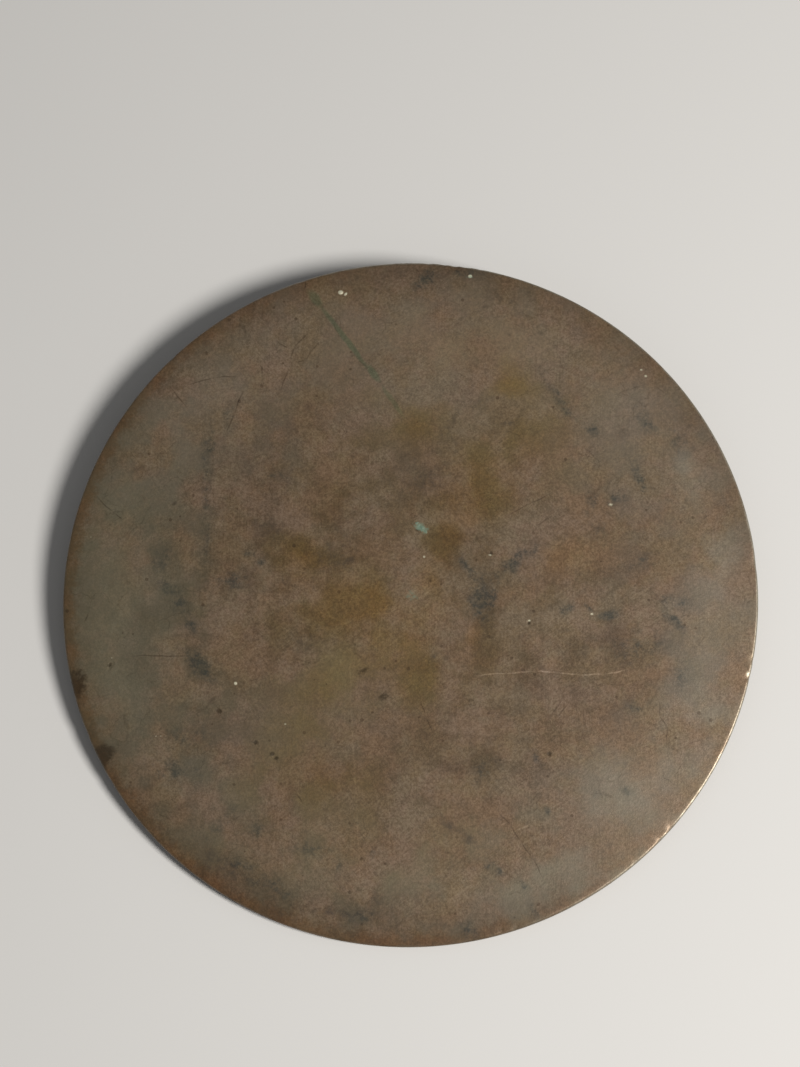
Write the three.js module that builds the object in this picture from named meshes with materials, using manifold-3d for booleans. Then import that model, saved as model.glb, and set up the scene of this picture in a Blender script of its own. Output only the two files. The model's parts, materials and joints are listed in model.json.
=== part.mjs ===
// An ancient round bronze mirror: a thin plain disc cast in one piece with a small domed knob,
// pierced for a cord, in the middle of its back.
// Millimetres, +Z up. The mirror lies face up, as it does when it is put down: the crest of
// the knob and one place on the rim touch the surface, so the face leans a few degrees to -Y.

import * as THREE from "three";
import { mergeVertices } from "three/addons/utils/BufferGeometryUtils.js";
import Module from "manifold-3d";

// The disc. Its own plane z = 0 is the flat foot of the rim, and its face looks along +z.
const MIRROR_DIAMETER = 145;
const RIM_THICKNESS = 1.95; // from the foot to the level where the face ends
const FACE_CROWN = 0.8; // how far the polished face bulges above that level
const SHOULDER_WIDTH = 4.5; // the outer band in which the face rolls down
const SHOULDER_DROP = 0.05;
const ARRIS_RADIUS = 0.45; // worn edge between the face and the side wall
const FOOT_ROUND = 0.35; // worn edge between the side wall and the foot

// The back, from the rim inwards.
const RIM_WIDTH = 5;
const RIM_SLOPE = 0.8;
const FIELD_DEPTH = 0.6; // the plain field lies this far inside the foot
const RING_RADIUS = 27;
const RING_WIDTH = 1.6;
const RING_HEIGHT = 0.35;
const SEAT_RADIUS = 13; // low round seat that carries the knob
const SEAT_HEIGHT = 0.3;

// The knob, a low dome over a tunnel for the cord. Heights are above the field.
const KNOB_LENGTH = 18; // across the tunnel
const KNOB_WIDTH = 14; // along the tunnel
const KNOB_CAST_HEIGHT = 5.95;
const KNOB_WORN_HEIGHT = 5.6; // its crest is worn flat at the angle at which the mirror lies
const KNOB_ROOT = 1.3; // depth by which the dome is let into the plate
const TUNNEL_WIDTH = 7.4;
const TUNNEL_HEIGHT = 3.7;

// How finely the round forms are faceted.
const DISC_SIDES = 96;
const FACE_STEPS = 6;
const SHOULDER_STEPS = 3;
const EDGE_STEPS = 4;
const RING_STEPS = 4;
const KNOB_SIDES = 40;
const KNOB_STEPS = 7;
const TUNNEL_STEPS = 12;

const DISC_RADIUS = MIRROR_DIAMETER / 2;
const FOOT_RADIUS = DISC_RADIUS - FOOT_ROUND;
const CREST_LEVEL = FIELD_DEPTH - KNOB_WORN_HEIGHT;

const wasm = await Module();
wasm.setup();

// Points along an elliptic arc about (cx, cy), both ends included.
function arcPoints(cx, cy, rx, ry, startAngle, endAngle, steps) {
  const points = [];
  for (let i = 0; i <= steps; i += 1) {
    const angle = startAngle + ((endAngle - startAngle) * i) / steps;
    points.push(new THREE.Vector2(cx + rx * Math.cos(angle), cy + ry * Math.sin(angle)));
  }
  return points;
}

// Height of the polished face at radius r: a shallow crown, then a roll down near the edge.
function faceHeight(r) {
  const crown = FACE_CROWN * (1 - (r / DISC_RADIUS) ** 2);
  const shoulder = Math.max(0, (r - (DISC_RADIUS - SHOULDER_WIDTH)) / SHOULDER_WIDTH);
  return RIM_THICKNESS + crown - SHOULDER_DROP * shoulder ** 2;
}

// The face from the edge to the middle.
function faceProfile() {
  const shoulderStart = DISC_RADIUS - SHOULDER_WIDTH;
  const arrisStart = DISC_RADIUS - ARRIS_RADIUS;
  const points = [];
  for (let i = 1; i <= SHOULDER_STEPS; i += 1) {
    const r = arrisStart + ((shoulderStart - arrisStart) * i) / SHOULDER_STEPS;
    points.push(new THREE.Vector2(r, faceHeight(r)));
  }
  for (let i = 1; i <= FACE_STEPS; i += 1) {
    const r = shoulderStart * (1 - i / FACE_STEPS);
    points.push(new THREE.Vector2(r, faceHeight(r)));
  }
  return points;
}

// Worn foot edge, upright side wall and worn arris, from the foot up to the face.
function edgeProfile() {
  const arrisTop = faceHeight(DISC_RADIUS - ARRIS_RADIUS);
  const foot = arcPoints(
    FOOT_RADIUS, FOOT_ROUND, FOOT_ROUND, FOOT_ROUND, -Math.PI / 2, 0, EDGE_STEPS,
  );
  const arris = arcPoints(
    DISC_RADIUS - ARRIS_RADIUS, arrisTop - ARRIS_RADIUS, ARRIS_RADIUS, ARRIS_RADIUS,
    0, Math.PI / 2, EDGE_STEPS,
  );
  return [...foot, ...arris];
}

// The back from the middle out to the rim: knob seat, plain field with one low ring, rim.
function backProfile() {
  const seatLevel = FIELD_DEPTH - SEAT_HEIGHT;
  const rimInside = FOOT_RADIUS - RIM_WIDTH;
  const ring = arcPoints(
    RING_RADIUS, FIELD_DEPTH, RING_WIDTH / 2, -RING_HEIGHT, Math.PI, 0, RING_STEPS,
  );
  return [
    new THREE.Vector2(0, seatLevel),
    new THREE.Vector2(SEAT_RADIUS, seatLevel),
    new THREE.Vector2(SEAT_RADIUS + SEAT_HEIGHT, FIELD_DEPTH),
    ...ring,
    new THREE.Vector2(rimInside - RIM_SLOPE, FIELD_DEPTH),
    new THREE.Vector2(rimInside, 0),
  ];
}

// The whole disc, turned about its axis with one flat side of the polygon facing -Y.
function discGeometry() {
  const profile = [...backProfile(), ...edgeProfile(), ...faceProfile()];
  const geometry = new THREE.LatheGeometry(profile, DISC_SIDES, Math.PI / DISC_SIDES);
  return geometry.rotateX(Math.PI / 2);
}

// The dome, standing on its root: a quarter ellipse turned about its axis, then stretched.
function domeGeometry() {
  const half = KNOB_WIDTH / 2;
  const profile = [
    new THREE.Vector2(0, -KNOB_ROOT),
    new THREE.Vector2(half, -KNOB_ROOT),
    ...arcPoints(0, 0, half, KNOB_CAST_HEIGHT, 0, Math.PI / 2, KNOB_STEPS),
  ];
  const geometry = new THREE.LatheGeometry(profile, KNOB_SIDES);
  return geometry.scale(KNOB_LENGTH / KNOB_WIDTH, 1, 1);
}

// The arched passage that a cord runs through, along Z and longer than the knob is wide.
function tunnelGeometry() {
  const outline = new THREE.Shape(arcPoints(
    0, 0, TUNNEL_WIDTH / 2, TUNNEL_HEIGHT, 0, Math.PI, TUNNEL_STEPS,
  ));
  const depth = 2 * KNOB_WIDTH;
  const geometry = new THREE.ExtrudeGeometry(outline, { depth, bevelEnabled: false });
  return geometry.translate(0, 0, -depth / 2);
}

// Turns a form whose y is height above the field so that it hangs from the back of the disc.
function hangFromField(geometry) {
  return geometry.rotateX(-Math.PI / 2).translate(0, 0, FIELD_DEPTH);
}

// What the surface that the mirror lies on has worn away from the crest of the knob.
function wearGeometry() {
  const geometry = new THREE.BoxGeometry(KNOB_LENGTH, KNOB_WIDTH, KNOB_CAST_HEIGHT);
  geometry.translate(0, 0, -KNOB_CAST_HEIGHT / 2);
  geometry.rotateX(-restingLean());
  return geometry.translate(0, 0, CREST_LEVEL);
}

// The knob, pierced along Y and worn.
function knobSolid() {
  const dome = toSolid(hangFromField(domeGeometry()));
  const tunnel = toSolid(hangFromField(tunnelGeometry()));
  return dome.subtract(tunnel).subtract(toSolid(wearGeometry()));
}

// The triangles with three different corners: those that a lathe folds up on its axis go.
function openTriangles(index) {
  const kept = [];
  for (let i = 0; i < index.length; i += 3) {
    const [a, b, c] = index.slice(i, i + 3);
    if (a !== b && b !== c && c !== a) {
      kept.push(a, b, c);
    }
  }
  return new Uint32Array(kept);
}

// A closed three.js geometry as a manifold solid.
function toSolid(geometry) {
  const bare = geometry.clone();
  bare.deleteAttribute("normal");
  bare.deleteAttribute("uv");
  const merged = mergeVertices(bare, 1e-4);
  return new wasm.Manifold(new wasm.Mesh({
    numProp: 3,
    vertProperties: new Float32Array(merged.attributes.position.array),
    triVerts: openTriangles(merged.index.array),
  }));
}

// A manifold solid as a three.js geometry.
function toGeometry(solid) {
  const mesh = solid.getMesh();
  const geometry = new THREE.BufferGeometry();
  geometry.setAttribute("position", new THREE.BufferAttribute(mesh.vertProperties, 3));
  geometry.setIndex(new THREE.BufferAttribute(mesh.triVerts, 1));
  geometry.computeVertexNormals();
  return geometry;
}

// Bronze under a brown patina, still faintly metallic.
function patinatedBronze() {
  return new THREE.MeshStandardMaterial({ color: 0x6a5a46, roughness: 0.5, metalness: 0.6 });
}

// Angle at which the disc lies when the crest of its knob and the near rim both touch down.
function restingLean() {
  const rimEdge = FOOT_RADIUS * Math.cos(Math.PI / DISC_SIDES);
  return Math.atan2(-CREST_LEVEL, rimEdge);
}

// The cast mirror, leaned over and then set down with the middle of its underside at the origin.
function bronzeMirror() {
  const geometry = toGeometry(toSolid(discGeometry()).add(knobSolid()));
  geometry.rotateX(restingLean());
  geometry.computeBoundingBox();
  const middle = geometry.boundingBox.getCenter(new THREE.Vector3());
  const mirror = new THREE.Mesh(geometry, patinatedBronze());
  mirror.name = "bronze_mirror";
  mirror.position.set(-middle.x, -middle.y, -geometry.boundingBox.min.z);
  return mirror;
}

const part = new THREE.Group();
part.add(bronzeMirror());

export default part;
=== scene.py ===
import json
import math

import bmesh
import bpy
import numpy as np
from mathutils import Matrix, Vector


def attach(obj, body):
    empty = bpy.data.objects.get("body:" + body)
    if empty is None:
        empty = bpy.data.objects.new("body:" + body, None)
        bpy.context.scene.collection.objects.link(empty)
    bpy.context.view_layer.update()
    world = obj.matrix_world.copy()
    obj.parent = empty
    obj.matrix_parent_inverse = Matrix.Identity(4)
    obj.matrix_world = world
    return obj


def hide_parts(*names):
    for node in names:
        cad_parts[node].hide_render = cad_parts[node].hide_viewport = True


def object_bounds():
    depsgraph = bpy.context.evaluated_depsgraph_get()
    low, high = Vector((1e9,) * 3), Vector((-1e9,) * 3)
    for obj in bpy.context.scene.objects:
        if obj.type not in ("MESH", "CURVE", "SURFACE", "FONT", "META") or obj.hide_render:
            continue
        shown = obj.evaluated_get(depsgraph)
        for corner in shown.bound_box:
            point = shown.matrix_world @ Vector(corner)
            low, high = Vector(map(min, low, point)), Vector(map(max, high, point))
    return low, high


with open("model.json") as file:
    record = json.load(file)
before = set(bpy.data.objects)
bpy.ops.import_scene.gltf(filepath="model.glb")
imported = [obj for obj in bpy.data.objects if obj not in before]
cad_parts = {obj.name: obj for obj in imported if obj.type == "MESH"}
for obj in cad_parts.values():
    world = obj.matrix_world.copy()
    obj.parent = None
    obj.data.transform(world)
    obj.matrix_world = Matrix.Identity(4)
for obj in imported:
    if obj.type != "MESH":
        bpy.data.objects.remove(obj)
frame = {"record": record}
cad_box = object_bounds()


# ---------------------------------------------------------------- how the mirror lies
# The mirror lies face up, leaning on its knob. Its own plane is the flat back of the rim, and
# the rim_back mount lies in that plane, level with the middle of the disc.

mm = 0.001
rim_back = next(m for m in frame["record"]["mounts"] if m["name"] == "rim_back")
foot_middle = Vector((0, rim_back["pos_m"][1], rim_back["pos_m"][2]))
lean = math.asin(rim_back["axis"][1])
mirror_to_row = Matrix.Translation(foot_middle) @ Matrix.Rotation(lean, 4, "X")


# ---------------------------------------------------------------- the casting
# One casting in high-tin bronze: a thin disc with a flat raised rim behind, a low ring and a
# round seat, and a domed knob that bridges a tunnel for the cord. The face was ground and
# polished, so it is smooth; the back keeps its casting skin.

disc_radius = (cad_box[1] - cad_box[0]).x / 2
rim_thickness = 1.95 * mm
face_crown = 0.8 * mm
shoulder_width = 4.5 * mm
shoulder_drop = 0.05 * mm
arris_radius = 0.55 * mm
foot_round = 0.35 * mm
rim_width = 5 * mm
rim_slope = 0.8 * mm
field_depth = 0.6 * mm
ring_radius = 27 * mm
ring_width = 1.6 * mm
ring_height = 0.35 * mm
seat_radius = 13 * mm
seat_height = 0.3 * mm
knob_half_length = 9 * mm
knob_half_width = 7 * mm
knob_cast_height = 5.95 * mm
knob_worn_height = 5.6 * mm
knob_fillet = 0.9 * mm
tunnel_half_width = 3.7 * mm
tunnel_height = 3.7 * mm

face_spacing = 0.62 * mm
edge_spacing = 0.6 * mm
back_spacing = 1.0 * mm
knob_spacing = 0.45 * mm


def face_height(r):
    """Height of the polished face above the back of the rim."""
    crown = face_crown * (1 - (r / disc_radius) ** 2)
    shoulder = max(0, (r - (disc_radius - shoulder_width)) / shoulder_width)
    return rim_thickness + crown - shoulder_drop * shoulder ** 2


def steps(start, end, spacing):
    """Values from start to end, both included, about one spacing apart."""
    return np.linspace(start, end, max(2, round(abs(end - start) / spacing) + 1))


def quarter(count):
    """Angles through a right angle, for a rounded edge."""
    return np.linspace(0, math.pi / 2, count)


rings = []          # half length, half width and height of each ring, and its point spacing


def ring(half_length, half_width, height, spacing):
    rings.append((half_length, half_width, height, spacing))


arris_tilt = 0.04          # the slope of the face where the arris begins, in radians
arris_start = disc_radius - arris_radius * (1 - math.sin(arris_tilt))
arris_base = face_height(arris_start) - arris_radius * math.cos(arris_tilt)
for r in steps(0, disc_radius - shoulder_width, face_spacing):
    ring(r, r, face_height(r), face_spacing)
for r in steps(disc_radius - shoulder_width, arris_start, edge_spacing)[1:]:
    ring(r, r, face_height(r), edge_spacing)
for angle in np.linspace(arris_tilt, math.pi / 2, 9)[1:]:
    r = disc_radius - arris_radius * (1 - math.sin(angle))
    ring(r, r, arris_base + arris_radius * math.cos(angle), edge_spacing)
for height in steps(arris_base, foot_round, 0.3 * mm)[1:-1]:
    ring(disc_radius, disc_radius, height, edge_spacing)
for angle in quarter(5):
    r = disc_radius - foot_round * (1 - math.cos(angle))
    ring(r, r, foot_round * (1 - math.sin(angle)), edge_spacing)

foot_radius = disc_radius - foot_round
rim_inside = foot_radius - rim_width
for r in steps(foot_radius, rim_inside, back_spacing)[1:-1]:
    ring(r, r, 0, back_spacing)
for share in np.linspace(0, 1, 6):
    r = rim_inside - rim_slope * share
    ring(r, r, field_depth * (3 - 2 * share) * share ** 2, back_spacing)
for r in steps(rim_inside - rim_slope, ring_radius + ring_width / 2, back_spacing)[1:-1]:
    ring(r, r, field_depth, back_spacing)
for angle in np.linspace(0, math.pi, 9):
    r = ring_radius + math.cos(angle) * ring_width / 2
    ring(r, r, field_depth - ring_height * math.sin(angle), back_spacing)
for r in steps(ring_radius - ring_width / 2, seat_radius + seat_height, back_spacing)[1:-1]:
    ring(r, r, field_depth, knob_spacing * 1.6)

seat_level = field_depth - seat_height
for share in np.linspace(0, 1, 5):
    r = seat_radius + seat_height * (1 - share)
    ring(r, r, field_depth - seat_height * (3 - 2 * share) * share ** 2, knob_spacing * 1.4)
for share in np.linspace(0, 1, 8)[1:-1]:
    ring(
        seat_radius + share * (knob_half_length + knob_fillet - seat_radius),
        seat_radius + share * (knob_half_width + knob_fillet - seat_radius),
        seat_level, knob_spacing,
    )
for angle in quarter(6):
    spread = knob_fillet * (1 - math.sin(angle))
    ring(
        knob_half_length + spread, knob_half_width + spread,
        seat_level - knob_fillet * (1 - math.cos(angle)), knob_spacing,
    )
dome_start = math.asin((knob_fillet + seat_height) / knob_cast_height)
for angle in np.linspace(dome_start, math.pi / 2, 26)[1:]:
    ring(
        knob_half_length * math.cos(angle), knob_half_width * math.cos(angle),
        field_depth - knob_cast_height * math.sin(angle), knob_spacing,
    )


def ring_points(half_length, half_width, height, spacing):
    """Evenly turned points of one ring; a ring of no size is one point."""
    around = 2 * math.pi * max(half_length, half_width)
    count = max(6, round(around / spacing)) if around > spacing else 1
    turn = np.arange(count) * 2 * math.pi / count
    return np.column_stack([
        half_length * np.cos(turn), half_width * np.sin(turn), np.full(count, height),
    ])


def stitch(a, count_a, b, count_b):
    """Triangles between two rings that start at vertex a and b."""
    found = []
    i = j = 0
    while i < count_a or j < count_b:
        step_a = j >= count_b or (i < count_a and (i + 1) * count_b <= (j + 1) * count_a)
        here_a, here_b = a + i % count_a, b + j % count_b
        if step_a:
            i += 1
            corners = (here_a, here_b, a + i % count_a)
        else:
            j += 1
            corners = (here_a, here_b, b + j % count_b)
        if len(set(corners)) == 3:
            found.append(corners)
    return found


point_rings = [ring_points(*r) for r in rings]
starts = np.cumsum([0] + [len(p) for p in point_rings])
points = np.vstack(point_rings)
triangles = []
for k in range(len(point_rings) - 1):
    triangles += stitch(
        int(starts[k]), len(point_rings[k]), int(starts[k + 1]), len(point_rings[k + 1]),
    )

# the crest of the knob is worn flat where it touches the surface that the mirror lies on
crest_level = field_depth - knob_worn_height
worn_level = crest_level - points[:, 1] * math.tan(lean)
points[:, 2] = np.maximum(points[:, 2], worn_level)

# small nicks in the edge of the face, as (degrees round the edge, half width, depth)
for turn, half_width, depth in (
    (80.2, 1.0, 0.16), (81.9, 0.8, 0.3), (83.6, 0.9, 0.18), (86.3, 0.7, 0.12), (77.5, 0.6, 0.1),
    (4.3, 1.9, 0.14), (-11.6, 0.5, 0.14), (-14.6, 0.7, 0.16), (-42.6, 0.8, 0.2),
    (-45.2, 0.6, 0.16), (-50.5, 0.5, 0.1), (-72.5, 0.5, 0.12), (-75, 0.5, 0.1),
    (134, 0.8, 0.1), (203, 1.1, 0.16), (212, 0.9, 0.14), (243, 0.7, 0.1), (108, 0.9, 0.12),
):
    x, y, z = points.T
    along_edge = (np.arctan2(y, x) - math.radians(turn) + math.pi) % (2 * math.pi) - math.pi
    along_edge *= disc_radius / (half_width * mm)
    from_arris = np.hypot(np.hypot(x, y) - disc_radius, z - arris_base - arris_radius)
    bite = depth * mm * np.exp(-along_edge ** 2) * np.exp(-(from_arris / (0.9 * mm)) ** 2)
    inward = 1 - 0.7 * bite / disc_radius
    points[:, 0] *= inward
    points[:, 1] *= inward
    points[:, 2] -= bite


def new_object(name, vertices, faces):
    mesh = bpy.data.meshes.new(name)
    mesh.from_pydata(vertices, [], faces)
    piece = bpy.data.objects.new(name, mesh)
    bpy.context.scene.collection.objects.link(piece)
    return piece


casting = new_object("mirror_casting", points.tolist(), triangles)

# pits and a small crater: the skin is divided more finely round each, then pressed in
# as (x, y, turn in degrees, half length, half width, depth) in millimetres
pits = [
    (-62.0, -14.3, 62, 1.05, 0.6, 0.1), (-61.5, -15.0, 62, 1.5, 1.0, -0.05),
    (-9.4, -16.0, 20, 0.9, 0.6, 0.05), (-39.2, -24.0, -30, 0.8, 0.5, 0.07),
    (-31.5, -30.7, 0, 0.6, 0.45, 0.05), (-27.6, -33.6, -40, 0.9, 0.5, 0.05),
    (28.8, -33.6, 0, 0.5, 0.5, 0.04), (25.0, -6.3, 0, 0.5, 0.4, 0.05),
    (17.4, 8.4, 0, 0.6, 0.5, 0.04), (2.6, 14.0, -35, 1.7, 0.9, 0.05),
    (-49.5, 20.0, 0, 0.6, 0.4, 0.04), (38.2, -4.8, 0, 0.5, 0.4, 0.04),
    (42.5, 18.5, 0, 0.6, 0.4, 0.04), (1.2, -0.2, 30, 1.6, 1.2, 0.03),
    (-69.2, -18.0, 72, 2.4, 1.6, 0.05), (-62.9, -33.5, 60, 2.0, 1.6, 0.05),
    (-14.2, 66.0, 0, 0.6, 0.5, -0.09), (-13.2, 65.6, 50, 0.45, 0.3, -0.06),
    (13.5, 69.1, 0, 0.5, 0.4, -0.06), (-35.8, -18.4, 0, 0.4, 0.4, -0.05),
    (1.9, 15.0, 20, 0.5, 0.35, -0.07), (3.0, 14.1, -30, 0.5, 0.3, -0.07),
    (3.8, 13.2, -40, 0.45, 0.3, -0.06), (2.3, 14.6, 60, 0.35, 0.3, -0.05),
]
fine_places = [(x, y, half_length) for x, y, turn, half_length, half_width, depth in pits]
fine_places += [
    (-14.0, 65.9, 0.9), (13.5, 69.1, 0.6), (-35.8, -18.4, 0.5), (-51.8, -29.2, 0.8),
    (-25.4, -27.0, 0.4), (50.4, 46.3, 0.5), (49.4, 47.7, 0.4), (3.4, 7.8, 0.4),
    (69.6, -17.4, 0.9), (-66.8, 13.1, 0.4),
]
skin = bmesh.new()
skin.from_mesh(casting.data)
for level in range(2):
    near = set()
    for x, y, pit_radius in fine_places:
        reach = (pit_radius * 1.5 + 0.5) * mm
        for edge in skin.edges:
            middle = (edge.verts[0].co + edge.verts[1].co) / 2
            if middle.z > 1.2 * mm and math.hypot(middle.x - x * mm, middle.y - y * mm) < reach:
                near.add(edge)
    bmesh.ops.subdivide_edges(skin, edges=list(near), cuts=1, use_grid_fill=True)
    bmesh.ops.triangulate(skin, faces=[f for f in skin.faces if len(f.verts) > 3])
for x, y, turn, half_length, half_width, depth in pits:
    c, s = math.cos(math.radians(turn)), math.sin(math.radians(turn))
    for vert in skin.verts:
        from_x, from_y = vert.co.x / mm - x, vert.co.y / mm - y
        along = (from_x * c + from_y * s) / half_length
        across = (from_y * c - from_x * s) / half_width
        away = math.hypot(along, across)
        if vert.co.z > 1.2 * mm and away < 1.4:
            away *= 1 + 0.14 * math.sin(3 * math.atan2(across, along) + x)
            vert.co.z -= depth * mm * max(0, 1 - away ** 2)
skin.to_mesh(casting.data)
skin.free()

# the tunnel for the cord, arched, along the near-to-far line of the mirror
tunnel_floor = seat_level - 0.05 * mm
arch_steps = 40
tunnel_steps = 60
tunnel_ends = 12 * mm
arch = np.linspace(0, math.pi, arch_steps)
tunnel_points = []
for y in np.linspace(-tunnel_ends, tunnel_ends, tunnel_steps):
    for angle in arch:
        tunnel_points.append((
            tunnel_half_width * math.cos(angle), y,
            tunnel_floor - (tunnel_height - field_depth + tunnel_floor) * math.sin(angle),
        ))
tunnel_faces = []
for row in range(tunnel_steps - 1):
    for step in range(arch_steps):
        a = row * arch_steps + step
        b = row * arch_steps + (step + 1) % arch_steps
        tunnel_faces.append((a, b, b + arch_steps, a + arch_steps))
tunnel_faces.append(tuple(range(arch_steps))[::-1])
tunnel_faces.append(tuple(range((tunnel_steps - 1) * arch_steps, tunnel_steps * arch_steps)))
tunnel = new_object("tunnel", tunnel_points, tunnel_faces)
cut = bmesh.new()
cut.from_mesh(tunnel.data)
bmesh.ops.recalc_face_normals(cut, faces=cut.faces)
cut.to_mesh(tunnel.data)
cut.free()
drill = casting.modifiers.new("tunnel", "BOOLEAN")
drill.object = tunnel
drill.operation = "DIFFERENCE"
drill.solver = "MANIFOLD"

# the worn and cast skin: a slow swell in the polished face, a grainy skin on the back
skin_tree = bpy.data.node_groups.new("cast_and_worn_skin", "GeometryNodeTree")
skin_tree.interface.new_socket("Geometry", in_out="INPUT", socket_type="NodeSocketGeometry")
skin_inputs = {}
for name, value in (
    ("Face swell", 0.035 * mm), ("Swell size", 22 * mm), ("Skin depth", 0.09 * mm),
    ("Skin grain", 2.2 * mm),
):
    socket = skin_tree.interface.new_socket(name, in_out="INPUT", socket_type="NodeSocketFloat")
    skin_inputs[socket.identifier] = value
skin_tree.interface.new_socket("Finish", in_out="INPUT", socket_type="NodeSocketMaterial")
skin_tree.interface.new_socket("Geometry", in_out="OUTPUT", socket_type="NodeSocketGeometry")


def geometry_node(tree, kind, links, **settings):
    """Adds a geometry node; links are {input name or number: socket or value}."""
    new = tree.nodes.new(kind)
    for name, value in settings.items():
        setattr(new, name, value)
    for name, value in links.items():
        if isinstance(value, bpy.types.NodeSocket):
            tree.links.new(value, new.inputs[name])
        else:
            new.inputs[name].default_value = value
    return new


def skin_math(operation, a, b):
    return geometry_node(skin_tree, "ShaderNodeMath", {0: a, 1: b}, operation=operation).outputs[0]


skin_in = skin_tree.nodes.new("NodeGroupInput").outputs
outward = skin_tree.nodes.new("GeometryNodeInputNormal").outputs[0]
up = geometry_node(skin_tree, "ShaderNodeSeparateXYZ", {0: outward}).outputs["Z"]


def skin_noise(size, detail):
    scale = skin_math("DIVIDE", 1.0, size)
    noise = geometry_node(
        skin_tree, "ShaderNodeTexNoise", {"Scale": scale, "Detail": detail, "Roughness": 0.6},
    )
    return noise.outputs[0]


def facing_step(low, high):
    step = geometry_node(
        skin_tree, "ShaderNodeMapRange", {0: up, 1: low, 2: high}, interpolation_type="SMOOTHSTEP",
    )
    return step.outputs[0]


swell = skin_math("MULTIPLY", skin_noise(skin_in["Swell size"], 2.0), skin_in["Face swell"])
swell = skin_math("MULTIPLY", swell, facing_step(0.6, 0.95))
cast = skin_math("MULTIPLY", skin_noise(skin_in["Skin grain"], 4.0), skin_in["Skin depth"])
cast = skin_math("MULTIPLY", cast, facing_step(0.4, -0.4))
press = skin_math("MULTIPLY", skin_math("ADD", swell, cast), -1.0)
press = geometry_node(skin_tree, "ShaderNodeVectorMath", {0: outward, 3: press}, operation="SCALE")
pressed = geometry_node(
    skin_tree, "GeometryNodeSetPosition",
    {"Geometry": skin_in["Geometry"], "Offset": press.outputs[0]},
)
whole = geometry_node(skin_tree, "GeometryNodeRealizeInstances", {0: pressed.outputs[0]})
finished = geometry_node(
    skin_tree, "GeometryNodeSetMaterial",
    {"Geometry": whole.outputs[0], "Material": skin_in["Finish"]},
)
skin_out = skin_tree.nodes.new("NodeGroupOutput")
skin_tree.links.new(finished.outputs[0], skin_out.inputs[0])

bronze = bpy.data.materials.new("patinated_bronze")
skin_modifier = casting.modifiers.new("skin", "NODES")
skin_modifier.node_group = skin_tree
for identifier, value in skin_inputs.items():
    skin_modifier[identifier] = value
finish_input = skin_tree.interface.items_tree["Finish"]
skin_modifier[finish_input.identifier] = bronze

shaped = casting.evaluated_get(bpy.context.evaluated_depsgraph_get())
casting_mesh = bpy.data.meshes.new_from_object(shaped)
casting.modifiers.clear()
casting.data = casting_mesh
bpy.data.objects.remove(tunnel)
casting_mesh.name = "mirror_casting"
casting_mesh.update()

casting_mesh.transform(mirror_to_row)
casting_mesh.shade_smooth()
casting_mesh.set_sharp_from_angle(angle=math.radians(38))
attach(casting, "root")
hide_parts("bronze_mirror")

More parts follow.
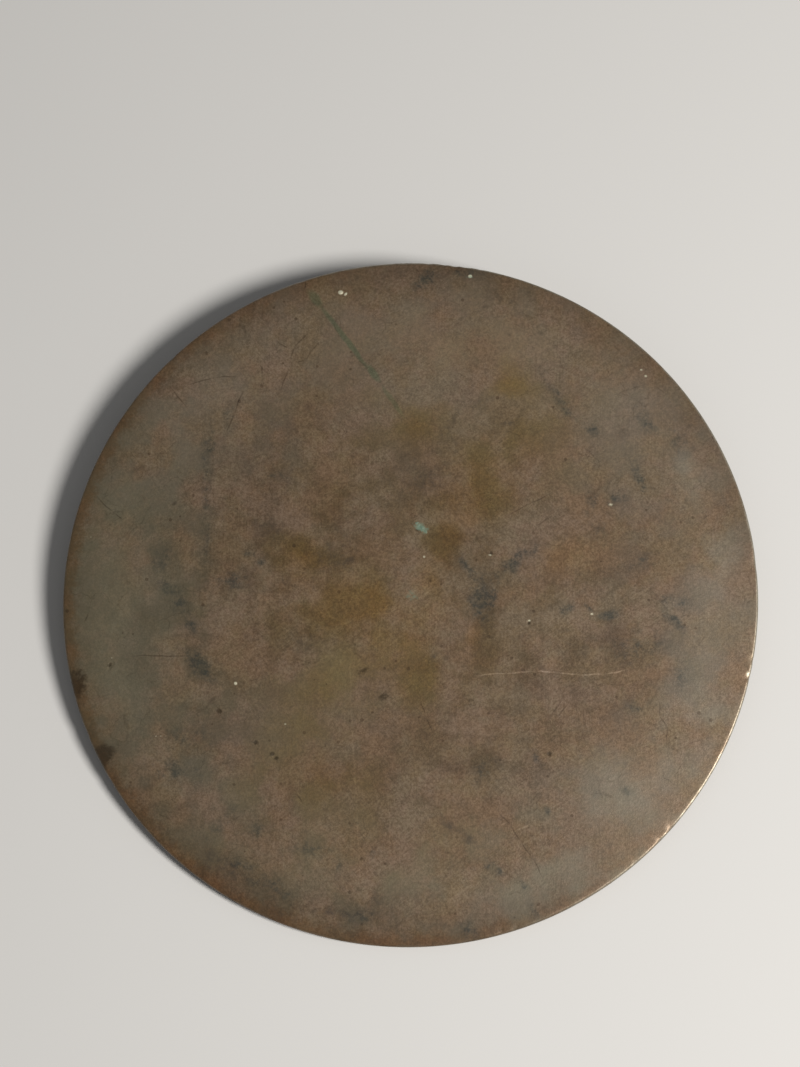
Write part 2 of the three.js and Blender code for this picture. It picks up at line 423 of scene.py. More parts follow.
# Where the patina differs, and where sheen is painted, as (x, y, turn in degrees, half length, half
# width, strength) in millimetres from the middle of the face. Each family is kept as an attribute of
# the mesh.
patches = {
    # a cool pale film, mostly on the left
    "pale_film": [
        (-62, -4, 92, 46, 22, 1.0), (-56, -34, 118, 20, 12, 0.5), (-66, 16, 85, 26, 9, 0.9),
        (-62, -22, 105, 12, 6, 0.9),
        (-30, -54, -25, 24, 10, 0.35), (0, -60, 0, 34, 8, 0.2),
    ],
    # painted sheen on the right and lower right, where the key light falls, and a lighter top; partly a
    # paler film in the patina
    "painted_sheen_film": [
        (46, -44, 45, 24, 15, 0.9), (62, -10, 80, 26, 11, 0.8), (66, 4, 80, 9, 5, 0.8),
        (58, 27, 80, 6, 4, 0.8), (52, 36, 125, 36, 18, 0.55), (0, 52, 0, 62, 22, 0.45),
        (-40, 44, 40, 24, 12, 0.5), (-20, -26, 30, 22, 12, 0.4), (28, -62, 20, 26, 8, 0.4),
    ],
    # ochre and olive patches
    "ochre": [
        (-13, -2.5, 10, 13, 10, 1.15), (-6, -8, 0, 24, 18, 0.45), (14, 21, 65, 18, 11, 0.75),
        (21, 31, 50, 14, 8, 0.4), (3, -18, 30, 10, 7, 0.7), (-19, -37, 0, 13, 7, 0.5),
        (-23, 8, 20, 10, 8, 0.65), (2, 36, 0, 9, 5, 0.45), (22, 45, 0, 7, 4, 0.45),
        (-17, -20, 60, 16, 8, 0.45), (9, 13, 80, 9, 6, 0.8), (-12, 26, 70, 12, 6, 0.3),
    ],
    # warmer orange patches
    "orange": [
        (4, 2.5, 60, 7, 5, 0.9), (13.2, -8.5, 70, 2.8, 1.8, 1.0), (3, -5, 20, 11, 7, 0.7),
        (34, 8, 10, 8, 4, 0.5), (-2, -3, 0, 7, 5, 0.5), (22, 0, 0, 5, 3, 0.4),
        (-14, -52, 0, 22, 7, 0.3), (12, 52, 0, 18, 7, 0.25),
    ],
    # cream patches, pale in the patina; the broad ones on the right, where the key light falls, are
    # partly painted sheen
    "cream": [
        (1.5, -0.6, 20, 5, 3.6, 0.8), (1.4, -0.2, 30, 2.4, 1.8, 0.9), (59, 26, 80, 4, 3, 0.6),
        (65, 5, 80, 9, 5, 0.5), (45, -42, 40, 13, 10, 0.2), (41, -38.5, 0, 4, 3, 0.5),
        (61, -14.2, 20, 2.4, 1.6, 0.7), (62, -27, 70, 3, 1.6, 0.7),
        (-14, -14, 30, 7, 5, 0.5), (-9, -11, 0, 6, 3, 0.4), (56, -30, 60, 12, 8, 0.15),
        (54, -3.6, 20, 3.4, 2.2, 0.7), (-26, 20, 80, 8, 4, 0.3), (38, -2, 10, 6, 3, 0.4),
    ],
    # dim brown areas
    "dim": [
        (-13, 17, 60, 13, 8, 0.4), (-27, 30, 80, 17, 9, 0.3), (-30, 14, 20, 10, 7, 0.6),
        (12, 8, 40, 11, 7, 0.85), (30, -20, 0, 18, 11, 0.4), (-44, -30, 60, 16, 9, 0.25),
        (12, -34, 0, 16, 9, 0.35), (16, -1, 80, 9, 7, 0.8), (2, 26, 0, 9, 8, 0.7),
        (-36, 5, 0, 12, 7, 0.5), (-46, -10, 110, 16, 6, 0.4), (-50, 8, 100, 12, 6, 0.35),
        (-20, 40, 40, 10, 5, 0.4), (50, -10, 20, 12, 6, 0.2), (-22, -9, 0, 8, 6, 0.4),
        (-54, -9, 100, 16, 5, 0.6),
        (-49, -42, -50, 12, 6, 0.6), (-30, -50, 0, 12, 8, 0.4),
        (-34, -58, -32, 20, 5, 0.8), (-8, -65, -2, 22, 4, 0.6),
    ],
    # blue-grey corrosion stains, some drawn out as streaks
    "blue_stain": [
        (-43.3, -14.6, -57, 4.6, 2.3, 1.0), (-36.8, 3.2, 0, 3.8, 1.9, 0.9),
        (-42.1, 31.8, 88, 5.2, 1.5, 1.0), (-42.4, 23.5, 90, 7.5, 1.1, 0.7),
        (-42, 14, 90, 7, 1, 0.35), (-38.2, 38.8, 75, 3, 1.3, 0.4),
        (4, 68.5, 47, 3.6, 2.1, 1.1), (13, 70.3, -8, 4.6, 1.9, 0.8), (15.7, -0.9, 80, 6, 3.7, 1.1),
        (22.3, 6.4, 33, 6, 2, 0.9), (25.4, 8.6, 30, 3, 2, 0.5), (12.6, 5.5, -50, 4, 1.5, 0.7),
        (48.8, 23.8, -65, 5.2, 1.3, 0.8), (43.6, 19.5, 12, 2.7, 1.4, 0.9),
        (38.8, 18.7, 70, 2.8, 1.9, 0.5), (41.3, -4.9, 8, 3.6, 1.2, 1.1),
        (33.1, -3.5, 30, 2.1, 1.4, 1.0), (37.4, -3.5, -45, 1.8, 0.5, 0.8),
        (53.3, -2, 0, 2.2, 1.3, 0.7), (56.4, -2.8, 20, 2.6, 1.1, 0.5),
        (54.8, -6.2, -47, 3.6, 1.4, 1.2), (47.3, -11.9, 17, 5, 2.9, 0.35),
        (56, -17.4, 80, 3.3, 2.4, 0.6), (31.6, 42.4, -56, 5.8, 1.2, 0.45),
        (33.4, 39, -50, 2, 1.1, 0.6), (38.8, 34.8, -32, 2, 1.3, 0.9),
        (50, 36.4, -65, 4.2, 1.6, 0.6), (49, 6.4, 20, 3.4, 1.5, 0.35), (57, 32, 90, 3, 2.4, 0.3),
        (-52, 8.6, 75, 3.2, 2.1, 0.6), (-48, -1.5, 20, 2, 1.5, 0.7),
        (-45.6, -5.5, -60, 3.8, 1.2, 0.7), (-50, 2, -40, 3.4, 1.5, 0.5),
        (-31, 7, 20, 2, 1.3, 0.9), (-33.5, 8.8, 0, 1.6, 0.9, 0.6), (-28, 25.5, 0, 2.4, 1.2, 0.4),
        (-48, -36.7, -10, 5.4, 3, 0.5), (-46, -30, 0, 4.5, 2.4, 0.3), (-55, 14.4, 0, 1.2, 0.8, 0.5),
        (26.4, -34.8, -80, 2, 0.8, 0.7), (44.4, -41.2, -30, 1.3, 0.9, 0.9),
        (28.3, -45.2, -60, 1, 0.7, 0.8), (38.4, -42.1, 0, 0.8, 0.7, 0.6),
        (16.7, -56.3, 0, 1.5, 1, 0.7), (18.3, -57.6, -30, 1.3, 1, 0.8),
        (23.3, -60.3, -55, 1.4, 0.7, 0.8), (25.2, -65.3, -62, 2.6, 0.8, 0.8),
        (12.6, -69.5, -30, 3, 1.4, 0.7), (46.3, -24.2, -10, 1.7, 0.9, 0.5),
        (-34.5, -55.6, -20, 2.8, 1.4, 0.6), (-28, -60.2, -18, 5, 1.6, 0.6),
        (-10.5, -66.2, -5, 2.8, 1.4, 0.6), (-7.5, -54, 80, 1.8, 1.1, 0.5),
        (-14.3, -56.4, 85, 2, 0.6, 0.5), (-31, -49, 60, 1.9, 1.6, 0.6),
        (-36.5, -44.5, 0, 1.8, 1, 0.4), (15.8, -37.5, 80, 2.8, 2.3, 0.35),
        (-39.4, -48, 30, 3, 1.2, 0.3), (-20, -52.6, 0, 3.6, 1.6, 0.4),
    ],
    # brown stains and dark spots
    "brown_stain": [
        (3.9, 24.8, 0, 3.8, 3.4, 0.85), (-29.5, 14, 10, 4, 3, 0.7), (-26, 3, 0, 2, 1.2, 0.7),
        (-22, -9.6, 70, 3, 2.3, 0.5), (-23.3, -12, 0, 1.4, 0.9, 0.7), (-21, 41, 60, 2, 1, 0.7),
        (8.8, -48.4, -32, 3.2, 1.1, 1.0), (12.4, -50.9, -38, 2.7, 1.1, 0.9),
        (16.8, 62.3, 0, 0.9, 0.8, 1.0), (19.6, 64.4, -55, 1.7, 0.7, 0.7),
        (31.8, -7.9, 5, 2, 0.7, 0.8), (40, -9.9, 0, 1.3, 0.5, 0.8), (27.5, -15.6, -10, 1.2, 0.7, 0.8),
        (7.5, -13.6, 0, 1.2, 0.9, 1.0), (5.5, -13.2, 0, 0.8, 0.6, 0.7), (40, 13.6, 0, 3, 2.4, 0.5),
        (45.7, 34.8, 70, 2.6, 1.7, 0.5), (9.6, 37.6, 60, 5, 1.4, 0.5), (14, 41, 32, 4, 1.1, 0.5),
        (-39.4, -55, -36, 4, 1.9, 0.7), (-36, -57.6, -30, 3, 1.2, 0.8), (-6, -63, -30, 2.2, 1.3, 0.5),
        (-14, -65.5, -3, 8.5, 0.8, 0.8), (48, 43.8, 70, 1.1, 0.8, 1.1), (20.3, 36.3, 0, 0.8, 0.7, 0.9),
        (22, 36.3, 0, 0.9, 0.7, 0.9), (22.3, 63.2, 0, 0.7, 0.6, 0.8), (23, 58.7, 0, 0.7, 0.7, 0.8),
        (22, 55.9, 0, 0.7, 0.6, 0.8), (28.2, 56.3, 0, 0.7, 0.7, 0.9), (20.8, 52.8, 0, 0.7, 0.6, 0.7),
        (26.8, 52.7, 0, 0.7, 0.6, 0.7), (30, 52, 0, 0.7, 0.7, 0.9), (25.7, 65, 0, 0.7, 0.6, 0.7),
        (-49.5, 20, 10, 0.9, 0.6, 1.0), (-56.2, 28, 10, 0.8, 0.7, 1.0), (-57.8, 27.6, 0, 2, 1, 0.5),
        (-59.6, 4.8, 10, 1, 0.6, 0.9), (-62, 2.6, 0, 1.2, 1, 0.7), (-58.7, 3.1, -40, 1, 0.5, 0.8),
        (33, -51, 0, 1.3, 0.9, 0.6), (-47.3, 35, -30, 0.9, 0.6, 0.8), (-33, 44.8, 0, 0.8, 0.6, 0.6),
        (-16, 9, 60, 5, 3.4, 0.5), (-12.5, 7, 50, 2.2, 1.2, 0.7), (9, 28, 70, 7, 2.2, 0.3),
    ],
    # pits, and dark corroded places on the left edge
    "dark_pit": [
        (-9.4, -16, 20, 1.4, 1.0, 0.85), (-5.2, -21.4, 10, 1.4, 1.0, 0.7),
        (-39.2, -24, -30, 0.9, 0.7, 1.2),
        (-31.5, -30.7, 0, 0.7, 0.6, 1), (-28.1, -33.2, 0, 0.7, 0.6, 1), (-27.2, -34, 0, 0.7, 0.6, 1),
        (-62.3, -14.3, 62, 0.9, 0.5, 0.8), (-69.4, -18, 72, 4.2, 3.0, 1.15),
        (-63.3, -33.6, 60, 3.4, 2.8, 1.2), (28.8, -33.6, 0, 0.7, 0.6, 0.9),
        (25, -6.4, 0, 0.5, 0.5, 0.8),
        (2.5, 13.9, 40, 1.4, 0.7, 0.9), (17.4, 8.4, 0, 0.5, 0.5, 0.8),
    ],
    # verdigris grains
    "turquoise": [
        (2.7, 14.2, -35, 2.1, 1.1, 1.1), (1.9, 15.0, 20, 0.8, 0.5, 1.0),
        (3.6, 13.3, -40, 0.8, 0.5, 1.0),
        (1.2, -0.2, 30, 1.6, 1.2, 0.25), (13.5, 69.1, 0, 0.8, 0.6, 0.5),
    ],
    # pale specks
    "white_speck": [
        (-14.2, 66.0, 0, 0.7, 0.6, 2.0), (-13.2, 65.6, 50, 0.6, 0.35, 1.6),
        (13.5, 69.1, 0, 0.6, 0.5, 1.5),
        (-35.8, -18.4, 0, 0.5, 0.5, 1.5), (-52.2, -29.2, 0, 0.35, 0.25, 0.7),
        (-51.3, -29.2, 0, 0.35, 0.25, 0.6),
        (-25.4, -27.0, 0, 0.5, 0.35, 0.9), (50.4, 46.3, 0, 0.5, 0.4, 1.0),
        (49.4, 47.7, 0, 0.5, 0.3, 0.7),
        (42.5, 18.5, 0, 0.7, 0.5, 0.9), (38.1, -4.7, 0, 0.5, 0.35, 1.0), (25.1, -5.9, 0, 0.4, 0.3, 1.0),
        (3.4, 7.8, 0, 0.4, 0.35, 0.9), (-61.8, -12.7, 0, 0.3, 0.25, 0.9),
        (-6.7, -17.8, 0, 0.5, 0.3, 0.5),
        (69.7, -17.4, 80, 1.0, 0.4, 0.8), (-66.8, 13.1, 0, 0.35, 0.3, 0.6),
        (17.2, 8.0, 0, 0.6, 0.3, 0.7),
    ],
}


def patch_depth(x, y, sizes):
    """How deep each point lies in its deepest patch: 1 at a middle, 0 at an edge."""
    depth = np.full(len(x), -1.0)
    for middle_x, middle_y, turn, half_length, half_width, strength in sizes:
        c, s = math.cos(math.radians(turn)), math.sin(math.radians(turn))
        along = ((x - middle_x) * c + (y - middle_y) * s) / half_length
        across = ((y - middle_y) * c - (x - middle_x) * s) / half_width
        depth = np.maximum(depth, strength * (1 - np.hypot(along, across)))
    return depth


def keep_patches(mesh):
    """Writes every family of patches to the mesh, and none on its back."""
    place = np.empty(len(mesh.vertices) * 3)
    mesh.vertices.foreach_get("co", place)
    row_to_mirror = np.array(mirror_to_row.inverted())
    place = (place.reshape(-1, 3) @ row_to_mirror[:3, :3].T + row_to_mirror[:3, 3]) / mm
    behind = place[:, 2] < 1.5
    for family, sizes in patches.items():
        depth = patch_depth(place[:, 0], place[:, 1], sizes)
        depth[behind] = -1
        mesh.attributes.new(family, "FLOAT", "POINT").data.foreach_set("value", depth)


keep_patches(casting_mesh)

# the finish: a tint multiplies the colour under it, and a cover hides that colour
base_brown = (0.190, 0.130, 0.0780)
grain_tint = (0.74, 0.73, 0.705)
fine_grain_tint = (0.82, 0.80, 0.76)
tone_tint = (0.95, 0.94, 0.93)
warmth_tint = (0.98, 0.95, 0.89)
blush_tint = (1.025, 0.985, 1.005)
brushing_tint = (0.93, 0.92, 0.90)
pale_film_cover = (0.168, 0.168, 0.112)
# the colour of the painted sheen
painted_sheen_cover = (0.27, 0.24, 0.185)
ochre_tint = (0.90, 0.80, 0.45)
orange_tint = (1.26, 1.17, 1.02)
cream_tint = (1.18, 1.24, 1.30)
dim_tint = (0.80, 0.78, 0.76)
blue_halo_tint = (0.90, 0.92, 0.93)
blue_stain_tint = (0.40, 0.445, 0.455)
brown_stain_tint = (0.50, 0.48, 0.43)
dark_pit_tint = (0.44, 0.42, 0.37)
green_streak_tint = (0.66, 0.88, 0.80)
crack_tint = (0.80, 0.79, 0.77)
dark_speck_tint = (0.62, 0.58, 0.54)
scratch_tint = (1.75, 1.85, 2.1)
faint_scratch_tint = (1.28, 1.30, 1.34)
hairline_tint = (0.58, 0.55, 0.52)
# painted shade at the edge of the face, away from the key light
edge_painted_shade_tint = (0.79, 0.77, 0.74)
rim_band_tint = (0.86, 0.71, 0.55)
# worn metal on the arris, pale as a painted highlight
bare_bronze_highlight_cover = (0.42, 0.38, 0.30)
white_speck_cover = (0.72, 0.68, 0.50)
turquoise_cover = (0.17, 0.27, 0.20)
wall_tint = (0.62, 0.58, 0.52)
back_tint = (0.80, 0.82, 0.74)
verdigris_cover = (0.115, 0.165, 0.115)
rubbed_cover = (0.26, 0.19, 0.12)
base_metal = 0.42
stained_metal = -0.28         # this and the next two are added to base_metal
bare_metal = 0.45
crusted_metal = -0.38
bronze_ior = 1.6
base_roughness = 0.45
relief_depth = 0.006 * mm

bronze.use_nodes = True
patina = bronze.node_tree
finish = patina.nodes["Principled BSDF"]


def add_node(tree, kind, *inputs, **settings):
    """Adds a shader node; each input is a socket to link, a value to keep, or None."""
    new = tree.nodes.new("ShaderNode" + kind)
    for name, value in settings.items():
        setattr(new, name, value)
    for socket, value in zip(new.inputs, inputs):
        if isinstance(value, bpy.types.NodeSocket):
            tree.links.new(value, socket)
        elif value is not None:
            socket.default_value = value
    return new


def node(tree, kind, *inputs, **settings):
    """The first output of a new shader node."""
    return add_node(tree, kind, *inputs, **settings).outputs[0]


def math_of(a, operation, b, tree=patina):
    return node(tree, "Math", a, b, operation=operation)


def vector_of(a, operation, b, tree=patina):
    return node(tree, "VectorMath", a, b, operation=operation)


def ramp(value, low, high, start=0.0, end=1.0, tree=patina):
    """A soft step of the value, from start at low to end at high."""
    return node(
        tree, "MapRange", value, low, high, start, end, interpolation_type="SMOOTHSTEP",
    )


def cloud(place, size, detail=2.0, roughness=0.5):
    """Soft noise, about 0 to 1, with features of this size in millimetres."""
    return node(patina, "TexNoise", place, 0, 1 / size, detail, roughness)


def cloud_vector(place, size, reach, detail=1.0):
    """A random push of up to this reach, in millimetres."""
    noise = add_node(patina, "TexNoise", place, None, 1 / size, detail)
    centred = vector_of(noise.outputs["Color"], "SUBTRACT", (0.5, 0.5, 0.5))
    return vector_of(centred, "MULTIPLY", (2 * reach, 2 * reach, 0))


def mixed(colour, mask, other, blend_type, clamp_factor):
    """A colour Mix; its factor and its two colours are sockets 0, 6 and 7."""
    mix = patina.nodes.new("ShaderNodeMix")
    mix.data_type = "RGBA"
    mix.blend_type = blend_type
    mix.clamp_factor = clamp_factor
    for socket, value in ((0, mask), (6, colour), (7, (*other, 1))):
        if isinstance(value, bpy.types.NodeSocket):
            patina.links.new(value, mix.inputs[socket])
        else:
            mix.inputs[socket].default_value = value
    return mix.outputs[2]


def tinted(colour, mask, tint):
    """The colour times the tint where the mask is 1."""
    return mixed(colour, mask, tint, "MULTIPLY", False)


def covered(colour, mask, cover):
    """The cover colour over the colour where the mask is 1."""
    return mixed(colour, mask, cover, "MIX", True)


# one mark: a soft ellipse on the face, which a thin one makes a streak or a scratch
mark_group = bpy.data.node_groups.new("patina_mark", "ShaderNodeTree")
for name, kind in (
    ("Place", "NodeSocketVector"), ("Middle", "NodeSocketVector"), ("Turn", "NodeSocketVector"),
    ("Size", "NodeSocketVector"), ("Core", "NodeSocketFloat"), ("Strength", "NodeSocketFloat"),
    ("Others", "NodeSocketFloat"),
):
    mark_group.interface.new_socket(name, in_out="INPUT", socket_type=kind)
mark_group.interface.new_socket("Mask", in_out="OUTPUT", socket_type="NodeSocketFloat")
mark_in = mark_group.nodes.new("NodeGroupInput").outputs
mark_place = node(
    mark_group, "Mapping", mark_in["Place"], mark_in["Middle"], mark_in["Turn"],
    mark_in["Size"], vector_type="TEXTURE",
)
from_middle = add_node(mark_group, "VectorMath", mark_place, operation="LENGTH")
mark_mask = ramp(from_middle.outputs["Value"], 1, mark_in["Core"], tree=mark_group)
mark_mask = math_of(mark_mask, "MULTIPLY", mark_in["Strength"], tree=mark_group)
mark_mask = math_of(mark_mask, "MAXIMUM", mark_in["Others"], tree=mark_group)
mark_out = mark_group.nodes.new("NodeGroupOutput")
mark_group.links.new(mark_mask, mark_out.inputs[0])


def marks(place, core, *sizes):
    """Marks as (x, y, turn in degrees, half length, half width, strength), all in one mask."""
    mask = 0.0
    for x, y, turn, half_length, half_width, strength in sizes:
        group = patina.nodes.new("ShaderNodeGroup")
        group.node_tree = mark_group
        group.inputs["Middle"].default_value = (x, y, 0)
        group.inputs["Turn"].default_value = (0, 0, math.radians(turn))
        group.inputs["Size"].default_value = (half_length, half_width, 1)
        group.inputs["Core"].default_value = core
        group.inputs["Strength"].default_value = strength
        patina.links.new(place, group.inputs["Place"])
        if isinstance(mask, bpy.types.NodeSocket):
            patina.links.new(mask, group.inputs["Others"])
        mask = group.outputs["Mask"]
    return mask


def line(place, *ends, strength=1.0, width=0.2):
    """Thin marks from each end (x, y) to the next."""
    pieces = []
    for (x0, y0), (x1, y1) in zip(ends, ends[1:]):
        length = math.hypot(x1 - x0, y1 - y0)
        turn = math.degrees(math.atan2(y1 - y0, x1 - x0))
        pieces.append(((x0 + x1) / 2, (y0 + y1) / 2, turn, length * 0.68, width, strength))
    return marks(place, 0.2, *pieces)


# places in millimetres in the mirror's own frame
object_place = patina.nodes.new("ShaderNodeTexCoord")
place = node(
    patina, "Mapping", object_place.outputs["Object"], tuple(foot_middle), (lean, 0, 0),
    (mm, mm, mm), vector_type="TEXTURE",
)
solid_place = vector_of(place, "MULTIPLY", (1, 1, 5))
flat_place = vector_of(place, "MULTIPLY", (1, 1, 0))
line_place = vector_of(flat_place, "ADD", cloud_vector(solid_place, 3.5, 0.35))
facing = add_node(
    patina, "VectorMath", object_place.outputs["Normal"],
    (0, -math.sin(lean), math.cos(lean)), operation="DOT_PRODUCT",
).outputs["Value"]
on_back = ramp(facing, -0.55, -0.8)
radius = add_node(patina, "VectorMath", flat_place, operation="LENGTH").outputs["Value"]


def grain_of(place, size, detail, roughness, spread):
    """Noise on the scale -1 to 1; a smaller spread gives it more contrast."""
    return ramp(cloud(place, size, detail, roughness), 0.5 - spread, 0.5 + spread, -1, 1)


# grain and mottling at every size
aside = vector_of(solid_place, "ADD", (40, 10, 0))
grain = grain_of(solid_place, 9, 8, 0.95, 0.09)
fine_grain = grain_of(aside, 0.55, 2, 0.9, 0.14)
tone = grain_of(aside, 26, 3, 0.6, 0.16)
warmth = grain_of(vector_of(aside, "ADD", (0, 70, 0)), 14, 5, 0.75, 0.1)

colour = tinted((*base_brown, 1), grain, grain_tint)
colour = tinted(colour, fine_grain, fine_grain_tint)
colour = tinted(colour, tone, tone_tint)
colour = tinted(colour, warmth, warmth_tint)
blush = grain_of(vector_of(aside, "ADD", (30, -70, 0)), 9, 4, 0.7, 0.12)
colour = tinted(colour, blush, blush_tint)

# brushing left by years of polishing, mostly up and down, each way in its own areas
brushing = 0.0
for turn, shift in ((88, 0), (35, 30), (-52, 60)):
    strokes = node(
        patina, "Mapping", flat_place, (shift, shift, 0), (0, 0, math.radians(turn)),
        (12, 0.32, 1), vector_type="TEXTURE",
    )
    strokes = grain_of(strokes, 1, 2, 0.6, 0.2)
    where = ramp(cloud(vector_of(flat_place, "ADD", (shift, 0, 0)), 22, 1), 0.42, 0.6)
    brushing = math_of(math_of(strokes, "MULTIPLY", where), "ADD", brushing)
colour = tinted(colour, brushing, brushing_tint)


def patch(family, noise, low, high):
    """The mask of a family of patches, its edges broken up by the noise."""
    depth = patina.nodes.new("ShaderNodeAttribute")
    depth.attribute_name = family
    return ramp(math_of(depth.outputs["Fac"], "ADD", noise), low, high)


ragged = math_of(grain_of(solid_place, 2.6, 6, 0.78, 0.12), "MULTIPLY", 0.34)
soft = math_of(grain_of(solid_place, 9, 2, 0.5, 0.16), "MULTIPLY", 0.3)

# broad zones: the pale film and the painted sheen, then ochre, orange, cream and dim patches
pale_film = patch("pale_film", soft, -0.3, 0.9)
colour = covered(colour, math_of(pale_film, "MULTIPLY", 0.5), pale_film_cover)
# painted sheen: a pale cover where the key light's sheen falls, and on the top
painted_sheen_film = patch("painted_sheen_film", soft, -0.3, 0.9)
colour = covered(colour, math_of(painted_sheen_film, "MULTIPLY", 0.35), painted_sheen_cover)
for family, tint in (
    ("ochre", ochre_tint), ("orange", orange_tint), ("cream", cream_tint), ("dim", dim_tint),
):
    colour = tinted(colour, patch(family, soft, -0.3, 0.9), tint)

# stains with ragged edges, the dark green streak, and pits
mottle = grain_of(aside, 1.1, 3, 0.7, 0.16)
blue_halo = patch("blue_stain", soft, -0.7, 0.5)
colour = tinted(colour, blue_halo, blue_halo_tint)
blue_stain = patch("blue_stain", ragged, -0.12, 0.85)
blue_stain = math_of(blue_stain, "MULTIPLY", ramp(mottle, -1, 1, 0.7, 1.2))
brown_stain = patch("brown_stain", ragged, -0.12, 0.85)
brown_stain = math_of(brown_stain, "MULTIPLY", ramp(mottle, 1, -1, 0.7, 1.2))
colour = tinted(colour, blue_stain, blue_stain_tint)
colour = tinted(colour, brown_stain, brown_stain_tint)
dark_pit = patch("dark_pit", math_of(ragged, "MULTIPLY", 0.8), 0.0, 0.7)
colour = tinted(colour, dark_pit, dark_pit_tint)
green_streak = marks(
    line_place, 0.4,
    (-19.8, 64.7, -55, 3.2, 1.4, 0.9), (-13.2, 55.6, -54, 12.6, 0.85, 1.0),
    (-7.2, 47.8, -56, 3.2, 1.05, 1.0), (-3.2, 41.6, -56, 5.6, 0.75, 0.6),
)
colour = tinted(colour, green_streak, green_streak_tint)

# fine curled cracks in some areas, and specks
crack_place = vector_of(flat_place, "ADD", cloud_vector(solid_place, 2.6, 1.7, 3))
crack = node(patina, "TexVoronoi", crack_place, 0, 0.2, feature="DISTANCE_TO_EDGE")
crack = ramp(crack, 0.022, 0.006)
cracked = cloud(vector_of(solid_place, "ADD", (9, 3, 0)), 7, 2)
crack = math_of(crack, "MULTIPLY", ramp(cracked, 0.53, 0.62))
colour = tinted(colour, crack, crack_tint)
speck = add_node(patina, "TexVoronoi", flat_place, 0, 0.42, 0, 0.5, 2.0, 0.3, 1.0)
speck_size = node(patina, "SeparateColor", speck.outputs["Color"])
speck_size = ramp(speck_size, 0.72, 1.0, 0.0, 0.16)
dark_speck = ramp(math_of(speck.outputs["Distance"], "SUBTRACT", speck_size), 0.03, -0.03)
dark_speck = math_of(dark_speck, "MULTIPLY", ramp(speck_size, 0.0, 0.03))
colour = tinted(colour, dark_speck, dark_speck_tint)

# scratches that show brighter metal, and dark hairlines
scratch = line(
    line_place, (14.5, -17.3), (20, -16.9), (26, -16.5), (30.5, -16.8), (35.5, -17.4),
    (40.5, -17.3), (45, -16.3), strength=1.0, width=0.24,
)
faint_scratch = line(
    line_place, (-18, -3.8), (-14, -5.5), (-10, -8.3), (-7, -11), width=0.3, strength=0.8,
)
for ends, strength in (
    (((-22.2, 4), (-21.4, -20)), 0.6), (((-12.3, -10), (-11.7, -26), (-10.9, -42), (-10, -57)), 0.6),
    (((-5.2, -12), (-4.7, -30)), 0.4), (((-4.5, -38), (-3.6, -56)), 0.4),
    (((21.4, -49.6), (24.9, -47.7)), 1.0), (((18.4, -48), (20, -47.5)), 0.6),
    (((-8, -4), (-3.4, -4.2)), 0.7), (((9.2, -44.3), (9.8, -42.7)), 0.7),
    (((13.6, 0.4), (16.4, 2.2)), 0.8), (((46.8, 36.4), (47.1, 31.8)), 0.4),
):
    more = line(line_place, *ends, strength=strength, width=0.26)
    faint_scratch = math_of(faint_scratch, "MAXIMUM", more)
colour = tinted(colour, scratch, scratch_tint)
colour = tinted(colour, faint_scratch, faint_scratch_tint)
hairline = 0.0
for ends in (
    ((18.5, -45.5), (20.5, -48), (22.8, -51.5), (25, -54.5), (27, -58.5)),
    ((51.5, -23), (51.6, -26), (53, -28.3), (52.8, -31.5)), ((2.5, -22.5), (3.6, -25.5), (4.8, -29)),
    ((-24.8, 51.2), (-24.1, 54), (-21.1, 57)), ((-28, 55.5), (-25.3, 53.6)),
    ((-23.8, 50.6), (-21.6, 51), (-20.5, 53), (-18.8, 54.8)), ((-31, 50.2), (-30.8, 48)),
    ((-47, 46), (-41, 47.5), (-36.5, 47.6)), ((-35, 44.5), (-36.8, 39.5), (-38.5, 35)),
    ((-50.5, 45.5), (-47, 41)), ((-66, 22), (-62, 18.2), (-60, 16.5)), ((-21.9, 68.8), (-21.8, 66.6)),
    ((-67, -3), (-67.8, -5.2)), ((-58, -12.4), (-45.5, -12.6)), ((-23, -41.3), (-21.7, -43.5)),
    ((21, 16.5), (25.5, 18.8), (29.8, 21)), ((26.8, 14.2), (30, 16)), ((-25.3, 49.5), (-27, 44)),
    ((29.5, -25.6), (31.5, -22.8)), ((30.8, -26), (32.8, -23.5)),
):
    hairline = math_of(line(line_place, *ends, strength=0.9, width=0.22), "MAXIMUM", hairline)
colour = tinted(colour, hairline, hairline_tint)

# the edge of the face: painted shade towards the edge away from the key light, a brown band on the
# left, and bare worn metal on the arris with a painted highlight where the key light falls
towards_light, towards_left = (
    add_node(
        patina, "VectorMath", flat_place, direction, operation="DOT_PRODUCT",
    ).outputs["Value"]
    for direction in ((0.0120, -0.0069, 0), (-0.0125, -0.0058, 0))
)
edge_place = math_of(math_of(ragged, "MULTIPLY", 2.2), "ADD", radius)
# painted shade: darker towards the edge of the face, except on the side towards the key light
edge_painted_shade = math_of(ramp(edge_place, 63, 71.6), "MULTIPLY", ramp(towards_light, 0.72, 0.95, 1, 0))
colour = tinted(colour, edge_painted_shade, edge_painted_shade_tint)
rim_band = math_of(ramp(edge_place, 68.6, 71.8), "MULTIPLY", ramp(towards_left, -0.7, 0.75, 0.1, 1))
colour = tinted(colour, rim_band, rim_band_tint)
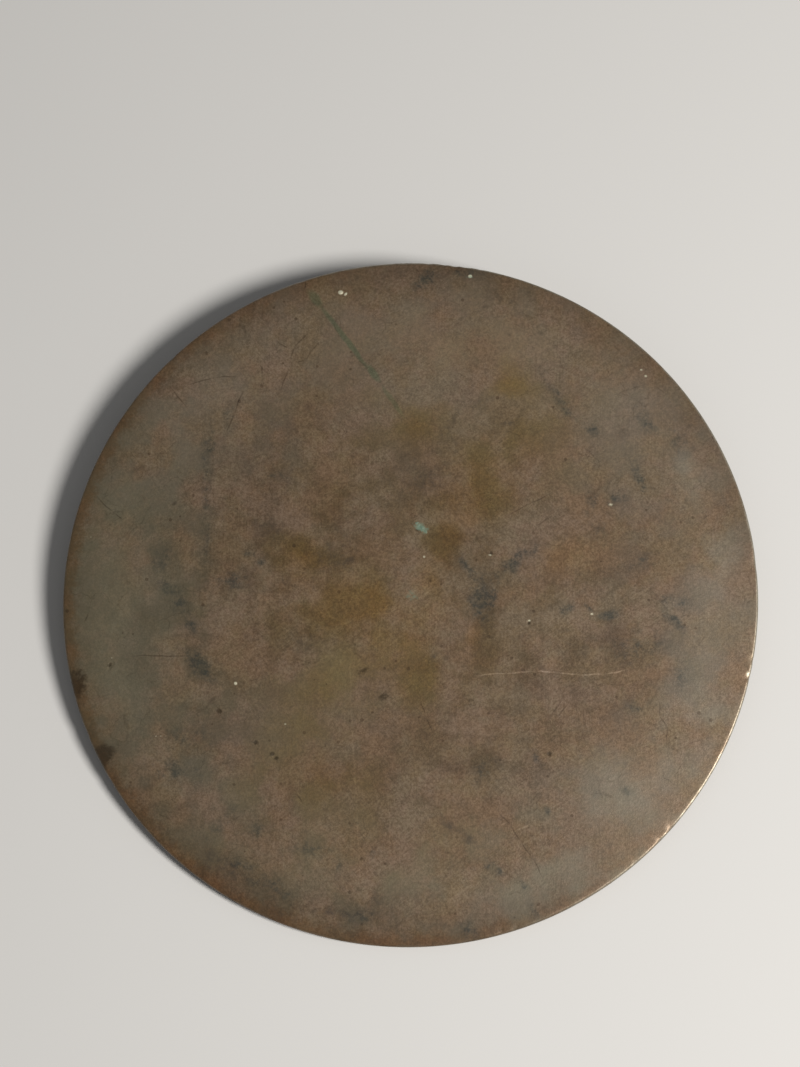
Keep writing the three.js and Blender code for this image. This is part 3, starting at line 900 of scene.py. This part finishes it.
# bare worn metal on the arris, with a painted highlight: paler and strongest on the side towards the
# key light
bare_arris_highlight = math_of(ramp(radius, 71.95, 72.25), "MULTIPLY", ramp(facing, 0.05, 0.5))
bare_arris_highlight = math_of(bare_arris_highlight, "MULTIPLY", ramp(ragged, -0.3, 0.15, 0.25, 1))
bare_arris_highlight = math_of(bare_arris_highlight, "MULTIPLY", ramp(towards_left, 0.2, -0.5, 0.15, 1))
colour = covered(colour, bare_arris_highlight, bare_bronze_highlight_cover)
white_speck = patch("white_speck", math_of(ragged, "MULTIPLY", 0.5), 0.1, 0.9)
colour = covered(colour, white_speck, white_speck_cover)
turquoise = patch("turquoise", math_of(mottle, "MULTIPLY", 0.3), 0.0, 0.8)
colour = covered(colour, math_of(turquoise, "MULTIPLY", 0.75), turquoise_cover)
wall = ramp(facing, 0.35, 0.05)
colour = tinted(colour, wall, wall_tint)

# the back: a thicker olive patina, verdigris in the hollows, and high spots rubbed brown
back_height = add_node(patina, "SeparateXYZ", place).outputs["Z"]
hollow = math_of(on_back, "MULTIPLY", ramp(back_height, 0.15, 0.5))
colour = tinted(colour, on_back, back_tint)
crust = math_of(math_of(ragged, "MULTIPLY", 1.2), "ADD", grain_of(aside, 17, 3, 0.6, 0.14))
crust = math_of(ramp(crust, 0.1, 0.8), "MULTIPLY", hollow)
colour = covered(colour, math_of(crust, "MULTIPLY", 0.7), verdigris_cover)
rubbed = math_of(on_back, "MULTIPLY", ramp(back_height, 0.12, -0.1))
colour = covered(colour, math_of(rubbed, "MULTIPLY", 0.3), rubbed_cover)

patina.links.new(colour, finish.inputs["Base Color"])
stained = math_of(math_of(blue_stain, "MAXIMUM", brown_stain), "MULTIPLY", stained_metal)
metal = math_of(stained, "ADD", base_metal)
metal = math_of(metal, "ADD", math_of(bare_arris_highlight, "MULTIPLY", bare_metal))
crusted = math_of(math_of(crust, "MAXIMUM", turquoise), "MULTIPLY", crusted_metal)
metal = math_of(metal, "ADD", crusted)
patina.links.new(metal, finish.inputs["Metallic"])
finish.inputs["IOR"].default_value = bronze_ior
rough = math_of(math_of(grain, "MULTIPLY", 0.05), "ADD", base_roughness)
rough = math_of(rough, "ADD", math_of(stained, "MULTIPLY", -0.25))
rough = math_of(rough, "ADD", math_of(bare_arris_highlight, "MULTIPLY", -0.05))
rough = math_of(rough, "ADD", math_of(crust, "MULTIPLY", 0.3))
patina.links.new(rough, finish.inputs["Roughness"])
relief = math_of(fine_grain, "ADD", math_of(ragged, "MULTIPLY", 4))
relief = node(patina, "Bump", 0.6, relief_depth, None, relief)
patina.links.new(relief, finish.inputs["Normal"])


# ---------------------------------------------------------------- floor
# A plain pale floor at the level that the mirror lies on.

floor_mesh = bpy.data.meshes.new("floor")
floor_half = 3
floor_mesh.from_pydata(
    [(-floor_half, -floor_half, 0), (floor_half, -floor_half, 0),
     (floor_half, floor_half, 0), (-floor_half, floor_half, 0)],
    [], [(0, 1, 2, 3)],
)
floor = bpy.data.objects.new("floor", floor_mesh)
bpy.context.scene.collection.objects.link(floor)
floor_paint = bpy.data.materials.new("floor_paint")
floor_paint.use_nodes = True
floor_shader = floor_paint.node_tree.nodes["Principled BSDF"]
floor_shader.inputs["Base Color"].default_value = (0.76, 0.75, 0.73, 1)
floor_shader.inputs["Roughness"].default_value = 0.9
floor_mesh.materials.append(floor_paint)


# ---------------------------------------------------------------- lights
# One soft key from the right and a little from the front, and a pale even room.

key_azimuth = math.radians(-25)
key_height = math.radians(48)
key_distance = 0.95
key_direction = Vector((
    math.cos(key_height) * math.cos(key_azimuth),
    math.cos(key_height) * math.sin(key_azimuth),
    math.sin(key_height),
))
key_data = bpy.data.lights.new("key", "AREA")
key_data.shape = "DISK"
key_data.size = 0.3
key_data.energy = 9.0
key_data.color = (1, 0.975, 0.94)
key = bpy.data.objects.new("key", key_data)
key.location = key_direction * key_distance
key.rotation_euler = key_direction.to_track_quat("Z", "Y").to_euler()
bpy.context.scene.collection.objects.link(key)

room = bpy.data.worlds.new("room")
room.use_nodes = True
room.node_tree.nodes["Background"].inputs["Color"].default_value = (1, 1, 1, 1)
room.node_tree.nodes["Background"].inputs["Strength"].default_value = 0.15
bpy.context.scene.world = room
bpy.context.scene.view_settings.view_transform = "Standard"


# ---------------------------------------------------------------- camera
# A long lens looks down on the face from 11 degrees off its normal, towards the near side. The
# disc fills most of the frame's width and sits a little below its middle.

face_middle = mirror_to_row @ Vector((0, 0, face_height(0)))
off_normal = math.radians(11.2)
view_azimuth = math.atan2(-0.97, 0.23)
view_direction = Matrix.Rotation(lean, 3, "X") @ Vector((
    math.sin(off_normal) * math.cos(view_azimuth),
    math.sin(off_normal) * math.sin(view_azimuth),
    math.cos(off_normal),
))
frame_width = 800
frame_height = 1067
disc_share = 0.8714          # of the frame's width
disc_right = 0.0100          # of the frame's width, from its middle to the disc's
disc_down = 0.0565           # of the frame's height
lens = 83
sensor = 36
focal = lens / sensor * frame_height
camera_distance = focal * 2 * disc_radius / (disc_share * frame_width)

camera_data = bpy.data.cameras.new("camera")
camera_data.lens = lens
camera_data.sensor_width = sensor
camera_data.clip_start = 0.01
camera = bpy.data.objects.new("camera", camera_data)
bpy.context.scene.collection.objects.link(camera)
right = Vector((0, 1, 0)).cross(view_direction).normalized()
up = view_direction.cross(right)
straight = Matrix((right, up, view_direction)).transposed().to_quaternion()
to_disc = Vector((disc_right * frame_width, -disc_down * frame_height, -focal)).normalized()
aim = to_disc.rotation_difference(Vector((0, 0, -1)))
camera.location = face_middle + view_direction * camera_distance
camera.rotation_euler = (straight @ aim).to_euler()
bpy.context.scene.camera = camera
